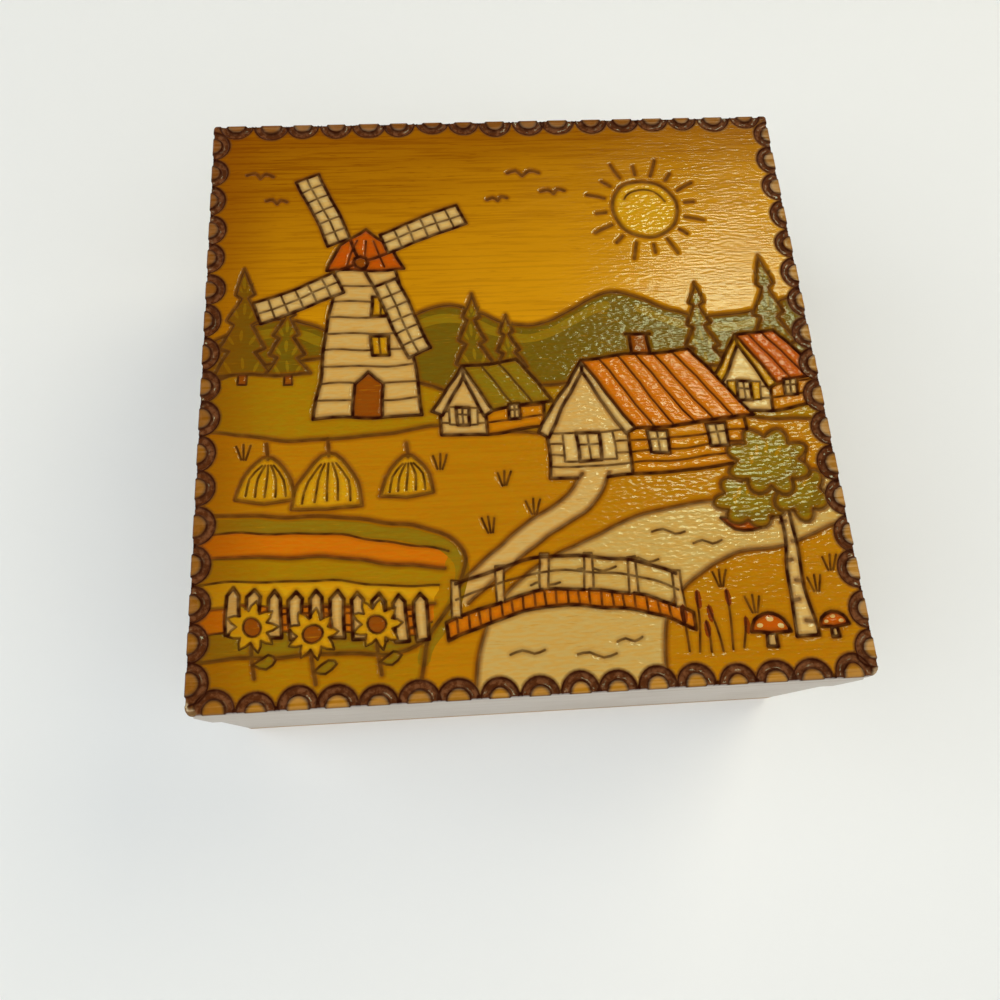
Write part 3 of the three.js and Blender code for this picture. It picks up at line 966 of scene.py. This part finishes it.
def timber_group():
    """Timber with its grain along X: year rings about a pith below the board, fibres and pores."""
    inputs = [("Position", VECTOR), ("Pith", VECTOR), ("Ring Width", NUMBER)]
    g, given, out = new_group("Timber Figure", inputs, ("Ring", "Fibre", "Fleck", "Pores"))
    place = given["Position"]
    sway = g.minus(g.noise(place, (6, 22, 22), 2), 0.5)
    axes = g.axes(g.vector("SUBTRACT", place, given["Pith"]))
    squares = g.plus(g.math("POWER", axes[1], 2.0), g.math("POWER", axes[2], 2.0))
    radius = g.plus(g.math("SQRT", squares), g.times(sway, 0.006))
    phase = g.math("FRACT", g.math("DIVIDE", radius, given["Ring Width"]))
    late = g.math("POWER", phase, 1.8)
    g.put(out["Ring"], g.times(late, g.step(phase, 1.0, 0.8)))
    g.put(out["Fibre"], g.noise(place, (52, 1400, 1400), 2, 0.5))
    g.put(out["Fleck"], g.noise(place, (430, 1900, 1900), 0.6, 0.4))
    g.put(out["Pores"], g.step(g.noise(place, (210, 2900, 2900), 2), 0.62, 0.74))
    return g.tree


def handling_group():
    """What years of handling leave: broad smudges and fine scratches."""
    g, given, out = new_group("Handling Marks", [("Position", VECTOR)], ("Smudge", "Scratch"))
    place = given["Position"]
    g.put(out["Smudge"], g.step(g.noise(place, (38, 38, 38), 4, 0.6), 0.42, 0.72))
    g.put(out["Scratch"], g.step(g.noise(place, (900, 60, 340), 2), 0.66, 0.78))
    return g.tree


TIMBER = timber_group()
HANDLING = handling_group()
AMBER_VARNISH = (1.0, 0.85, 0.45, 1.0)
TABLE_WHITE = rgb(243, 243, 240)
PALE = rgb(209, 200, 190)
PALE_LATE = rgb(187, 173, 158)
LID_PITH = (0, 0.035, 0.02)  # in metres, as all lengths in the finishes are
LID_RINGS = 0.0034  # between year rings
WALL_RINGS = 0.0031
VENEER_RINGS = 0.0005
CORE_LOW = (0.00125, 0.0014)  # heights between which the dark veneer in the plywood sets in and ends
CORE_HIGH = (0.0028, 0.00265)


class Finish(Graph):
    """A material in the making, with its shader and the places on the piece."""

    def __init__(self, name):
        self.material = bpy.data.materials.new(name)
        self.material.use_nodes = True
        super().__init__(self.material.node_tree)
        self.tree.nodes.clear()
        self.shader = self.tree.nodes.new("ShaderNodeBsdfPrincipled")
        self.surface = self.tree.nodes.new("ShaderNodeOutputMaterial").inputs["Surface"]
        self.put(self.surface, self.shader.outputs[0])
        self.position = self.node("ShaderNodeTexCoord")["Object"]

    def timber(self, position, pith, ring_width):
        values = {"Position": position, "Pith": pith, "Ring Width": ring_width}
        return self.node("ShaderNodeGroup", values, node_tree=TIMBER)

    def handling(self):
        return self.node("ShaderNodeGroup", {"Position": self.position}, node_tree=HANDLING)

    def attribute(self, name, output="Fac"):
        return self.node("ShaderNodeAttribute", attribute_name=name)[output]

    def coat(self, values):
        """Links or sets the shader's own inputs."""
        for label, value in values.items():
            self.put(self.shader.inputs[label], value)

    def bump(self, height, strength, distance):
        values = {"Height": height, "Strength": strength, "Distance": distance}
        self.coat({"Normal": self.node("ShaderNodeBump", values)[0]})


def lid_stain_and_shade(f, axes, grain):
    """Amber stain along the grain, with painted shade that makes it deeper towards the back left."""
    # painted shade: darker towards the back left, as the light falls from the right
    far = f.step(f.minus(axes[1], f.times(axes[0], 0.3)), 0.005, 0.08)
    cloud = f.step(f.noise(f.position, (8, 18, 18), 3), 0.35, 0.7)
    fibres = f.step(grain["Fibre"], 0.53, 0.37)
    depth = f.masks((far, 0.7), (grain["Ring"], 0.1), (cloud, 0.18), (fibres, 0.18), (grain["Pores"], 0.24))
    return f.blend(depth, rgb(212, 146, 10), rgb(134, 74, 0))


def lid_picture_finish():
    """Amber stain with painted shade, paint, scorched lines and varnish on the lid's top."""
    f = Finish("varnished_picture")
    grain = f.timber(f.position, LID_PITH, LID_RINGS)
    marks = f.handling()
    axes = f.axes(f.position)
    char = f.attribute("char")
    raw = f.attribute("raw")

    cover = f.times(f.attribute("cover"), f.minus(1.0, f.times(grain["Pores"], 0.4)))
    shade = f.times(f.step(grain["Fleck"], 0.34, 0.66), 0.35)
    paint = f.blend(shade, f.attribute("paint", "Color"), rgb(214, 150, 50), "SOFT_LIGHT")
    colour = f.blend(cover, lid_stain_and_shade(f, axes, grain), paint)

    # painted shade along the left edge; the back edge is darker too
    painted_shade_left = f.times(f.step(axes[0], -0.05, -0.07), 0.6)
    darker_back_edge = f.times(f.step(axes[1], 0.055, 0.07), 0.35)
    # scorched brown from the burnt lines, joined with the painted shade on the left and the darker back edge
    brown = f.larger(f.times(f.attribute("toast"), 0.72), f.larger(painted_shade_left, darker_back_edge))
    colour = f.blend(brown, colour, rgb(126, 61, 2))
    speckle = f.step(f.noise(f.position, (900, 900, 900), 3), 0.4, 0.66)
    pressed = f.blend(speckle, rgb(86, 43, 17), rgb(120, 73, 42))
    colour = f.blend(f.attribute("stamp"), colour, pressed)
    colour = f.blend(char, colour, rgb(48, 9, 0))
    bare = f.blend(f.step(grain["Fibre"], 0.42, 0.6), rgb(128, 96, 58), rgb(206, 180, 138))
    colour = f.blend(raw, colour, bare)

    dulled = f.masks((marks["Smudge"], 0.08), (char, 0.85), (raw, 0.4))
    f.coat({"Base Color": colour, "Roughness": f.plus(dulled, 0.12, True)})
    f.coat({"Specular IOR Level": 0.16, "Specular Tint": AMBER_VARNISH})
    streak = f.times(grain["Fleck"], 0.6)
    peel = f.times(f.noise(f.position, (700, 1400, 1400), 0.5), 1.7)
    f.bump(f.node("ShaderNodeMix", {0: cover, 2: streak, 3: peel})[0], 1.0, 0.0001)
    return f.material


def bare_wood_finish(name, pith, along_y=False, burnt=False):
    """Sanded pale wood with no varnish, its grain along X or along Y."""
    f = Finish(name)
    length = f.position
    if along_y:
        quarter_turn = {"Vector": f.position, "Rotation": (0, 0, math.radians(90))}
        length = f.node("ShaderNodeMapping", quarter_turn)[0]
    grain = f.timber(length, pith, WALL_RINGS)
    tone = f.masks((grain["Ring"], 0.7), (f.step(grain["Fibre"], 0.66, 0.34), 0.45))
    colour = f.blend(tone, PALE, PALE_LATE)
    colour = f.tint(colour, grain["Pores"], 0.3, rgb(140, 108, 76))
    colour = f.tint(colour, f.handling()["Smudge"], 0.16, rgb(150, 126, 98))
    if burnt:
        # on the lid board's edge, toast also holds the painted shade line at the joint with the rim
        colour = f.tint(colour, f.attribute("toast"), 0.7, rgb(120, 72, 30))
        colour = f.blend(f.attribute("char"), colour, rgb(52, 26, 14))
    f.coat({"Base Color": colour, "Roughness": f.plus(f.times(grain["Fibre"], 0.25), 0.5)})
    f.bump(grain["Fleck"], 0.5, 0.00012)
    return f.material


def plywood_finish():
    """A plywood panel: three veneers on its edge and a broad rotary figure on its faces."""
    f = Finish("bare_plywood")
    grain = f.timber(f.position, (0, 0, -0.4), VENEER_RINGS)
    figure = f.step(f.noise(f.position, (12, 70, 200), 5, 0.6), 0.35, 0.68)
    tone = f.masks((figure, 0.6), (grain["Fibre"], 0.3))
    colour = f.blend(tone, rgb(214, 184, 140), rgb(170, 132, 90))
    height = f.axes(f.position)[2]
    core = f.times(f.step(height, *CORE_LOW), f.step(height, *CORE_HIGH))
    colour = f.tint(colour, core, 0.75, rgb(138, 98, 62))
    colour = f.tint(colour, f.handling()["Smudge"], 0.3, rgb(128, 104, 80))
    f.coat({"Base Color": colour, "Roughness": f.plus(f.times(grain["Fibre"], 0.2), 0.58)})
    f.bump(grain["Fleck"], 0.6, 0.00015)
    return f.material


def metal_finish(name, bright, dull, low_gloss):
    """Pressed or drawn metal, dulled in patches and scratched."""
    f = Finish(name)
    marks = f.handling()
    spots = f.step(f.noise(f.position, (420, 420, 420), 4, 0.65), 0.44, 0.7)
    dulled = f.masks((marks["Smudge"], 0.45), (spots, 0.5))
    rough = f.plus(f.times(dulled, 0.3), low_gloss)
    rough = f.minus(rough, f.times(marks["Scratch"], 0.08), True)
    f.coat({"Metallic": 1.0, "Base Color": f.blend(dulled, bright, dull), "Roughness": rough})
    f.bump(f.plus(spots, marks["Scratch"]), 0.25, 0.00005)
    return f.material


def table_finish():
    """A white table that keeps the shadow near the box and runs out into a plain pale backdrop."""
    f = Finish("pale_table")
    f.coat({"Base Color": TABLE_WHITE, "Roughness": 0.75})
    path = f.node("ShaderNodeLightPath")
    seen = f.larger(path["Is Camera Ray"], path["Is Glossy Ray"])
    seen = f.larger(seen, path["Is Transmission Ray"])
    away = f.node("ShaderNodeVectorMath", {0: f.position}, operation="LENGTH")["Value"]
    share = f.times(f.step(away, 0.4, 1.1), seen)
    glow = f.node("ShaderNodeEmission", {"Color": TABLE_WHITE, "Strength": 0.94})[0]
    f.put(f.surface, f.node("ShaderNodeMixShader", {0: share, 1: f.shader.outputs[0], 2: glow})[0])
    return f.material


# Dressing the frame's own pieces

SHARP_COSINE = 0.77  # edges that turn more than about 40 degrees
BOARD_EDGE = 0.35 * MM  # how far each kind of piece is rounded at its edges
PANEL_EDGE = 0.3 * MM
BRASS_EDGE = 0.12 * MM
WIRE_EDGE = 0.1 * MM


def mark_long_edges(mesh, shortest):
    """Gives a bevel weight to the long sharp edges of a board, and none to the rims of its nail holes."""
    places = [tuple(round(c, 6) for c in vertex.co) for vertex in mesh.vertices]
    sides = {}
    for polygon in mesh.polygons:
        for a, b in polygon.edge_keys:
            sides.setdefault(frozenset((places[a], places[b])), []).append(polygon.normal)
    marks = mesh.attributes.new("bevel_weight_edge", "FLOAT", "EDGE")
    for edge, mark in zip(mesh.edges, marks.data):
        a, b = edge.vertices
        long = (mesh.vertices[a].co - mesh.vertices[b].co).length > shortest
        normals = sides[frozenset((places[a], places[b]))]
        sharp = len(normals) == 2 and normals[0].dot(normals[1]) < SHARP_COSINE
        mark.value = float(long and sharp)


def soften_edges(piece, width, board):
    """Breaks the sharp edges, as sanding does, and on a board the long ones alone."""
    weld = piece.modifiers.new("weld", "WELD")
    weld.merge_threshold = 1e-6
    if board:
        mark_long_edges(piece.data, 3 * width)
        whole = piece.modifiers.new("whole_faces", "DECIMATE")
        whole.decimate_type = "DISSOLVE"
        whole.angle_limit = math.radians(1)
    bevel = piece.modifiers.new("sanded_edges", "BEVEL")
    bevel.width = width
    bevel.segments = 3
    bevel.limit_method = "WEIGHT" if board else "ANGLE"
    bevel.angle_limit = math.acos(SHARP_COSINE)


def dress(names, material, edge, board=False):
    for name in names:
        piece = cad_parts[name]
        piece.data.materials.clear()
        piece.data.materials.append(material)
        soften_edges(piece, edge, board)


def dress_frame():
    """Bare wood on the walls and rims, with a pith for each side, plywood under them, brass and steel."""
    sides = (("front", (0, -0.13, -0.06)), ("back", (0, 0.12, -0.04)), ("left", (0, 0.13, -0.05)),
             ("right", (0, -0.12, 0.11)))
    for side, pith in sides:
        wood = bare_wood_finish("bare_wood_" + side, pith, along_y=side in ("left", "right"))
        dress([side + "_wall", "lid_rim_" + side], wood, BOARD_EDGE, board=True)
    dress(["bottom_panel"], plywood_finish(), PANEL_EDGE, board=True)
    brass = metal_finish("dull_brass", rgb(206, 168, 92), rgb(132, 98, 48), 0.26)
    steel = metal_finish("drawn_wire", rgb(172, 172, 174), rgb(104, 100, 96), 0.3)
    hinges = [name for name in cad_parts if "hinge" in name]
    dress([name for name in hinges if "pin" not in name], brass, BRASS_EDGE)
    dress([name for name in hinges if "pin" in name], steel, WIRE_EDGE)
    dress([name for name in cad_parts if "brad" in name], steel, WIRE_EDGE)


def dress_lid_board():
    board = build_lid_board()
    board.data.materials.append(lid_picture_finish())
    board.data.materials.append(bare_wood_finish("bare_wood_lid_edge", LID_PITH, burnt=True))
    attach(board, "lid")
    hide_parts("lid_board")


# Table, light and camera

TABLE_RADIUS = 2.0  # in metres, to where the cove sets in
COVE_RADIUS = 0.6
WALL_TOP = 1.4
TABLE_TURNS = 64
LAMP_TARGET = Vector((0.0, 0.0, 0.04))
ROOM_COLOUR = (0.94, 0.97, 1.0, 1.0)
ROOM_STRENGTH = 0.09


def add_table():
    """A round table top that sweeps up into a wall all round."""
    cove = arc((TABLE_RADIUS, COVE_RADIUS), COVE_RADIUS, -90, 0, 0.1)
    profile = [(TABLE_RADIUS / 2, 0.0), *map(tuple, cove), (TABLE_RADIUS + COVE_RADIUS, WALL_TOP)]
    ways = toward(np.arange(TABLE_TURNS) * 360 / TABLE_TURNS)
    vertices = [(0.0, 0.0, 0.0)]
    for radius, height in profile:
        vertices += [(radius * x, radius * y, height) for x, y in ways]
    faces = [(0, 1 + i, 1 + (i + 1) % TABLE_TURNS) for i in range(TABLE_TURNS)]
    for ring in range(len(profile) - 1):
        low = 1 + ring * TABLE_TURNS
        high = low + TABLE_TURNS
        for i in range(TABLE_TURNS):
            j = (i + 1) % TABLE_TURNS
            faces.append((low + i, high + i, high + j, low + j))
    mesh = bpy.data.meshes.new("table_top")
    mesh.from_pydata(vertices, [], faces)
    mesh.polygons.foreach_set("use_smooth", [True] * len(faces))
    table = bpy.data.objects.new("table_top", mesh)
    table.data.materials.append(table_finish())
    bpy.context.scene.collection.objects.link(table)


def add_lamp(name, place, size, power, colour, lights=True, gleams=False):
    """A round lamp turned to the box, which lights it, gleams in its varnish and metal, or both."""
    data = bpy.data.lights.new(name, "AREA")
    data.shape = "DISK"
    data.size = size
    data.energy = power
    data.color = colour
    lamp = bpy.data.objects.new(name, data)
    lamp.location = place
    lamp.visible_diffuse = lights
    lamp.visible_glossy = gleams
    lamp.rotation_euler = (LAMP_TARGET - Vector(place)).to_track_quat("-Z", "Y").to_euler()
    bpy.context.scene.collection.objects.link(lamp)


def add_light():
    warm, cool = (1.0, 0.89, 0.66), (0.93, 0.97, 1.0)
    add_lamp("window", (0.512, 0.6, 1.32), 0.32, 9, (0.64, 0.9, 1.0), lights=False, gleams=True)
    add_lamp("doorway", (1.0, 0.75, 1.1), 1.2, 9, warm)
    add_lamp("room_left", (-1.2, -0.2, 1.3), 1.8, 16, cool)
    add_lamp("room_right", (1.0, -0.9, 1.3), 1.8, 10, cool)
    add_lamp("ceiling", (-0.1, -0.7, 1.9), 2.2, 10.5, cool)
    world = bpy.data.worlds.new("room_light")
    bpy.context.scene.world = world
    world.use_nodes = True
    background = world.node_tree.nodes["Background"]
    background.inputs["Color"].default_value = ROOM_COLOUR
    background.inputs["Strength"].default_value = ROOM_STRENGTH


def add_camera():
    data = bpy.data.cameras.new("camera")
    data.sensor_width = SENSOR
    data.lens = FOCAL_PIXELS / PHOTO_SIDE * SENSOR
    data.shift_x = 0.5 - OPTICAL_CENTRE[0] / PHOTO_SIDE
    data.shift_y = OPTICAL_CENTRE[1] / PHOTO_SIDE - 0.5
    data.clip_start = 0.01
    camera = bpy.data.objects.new("camera", data)
    right = CAMERA_LOOK.cross(CAMERA_UP).normalized()
    up = right.cross(CAMERA_LOOK).normalized()
    turn = Matrix((right, up, -CAMERA_LOOK)).transposed().to_4x4()
    camera.matrix_world = Matrix.Translation(CAMERA_PLACE * MM + Vector((0, 0, LID_TOP))) @ turn
    bpy.context.scene.collection.objects.link(camera)
    bpy.context.scene.camera = camera


add_camera()
dress_frame()
dress_lid_board()
add_table()
add_light()
bpy.context.scene.view_settings.view_transform = "Standard"
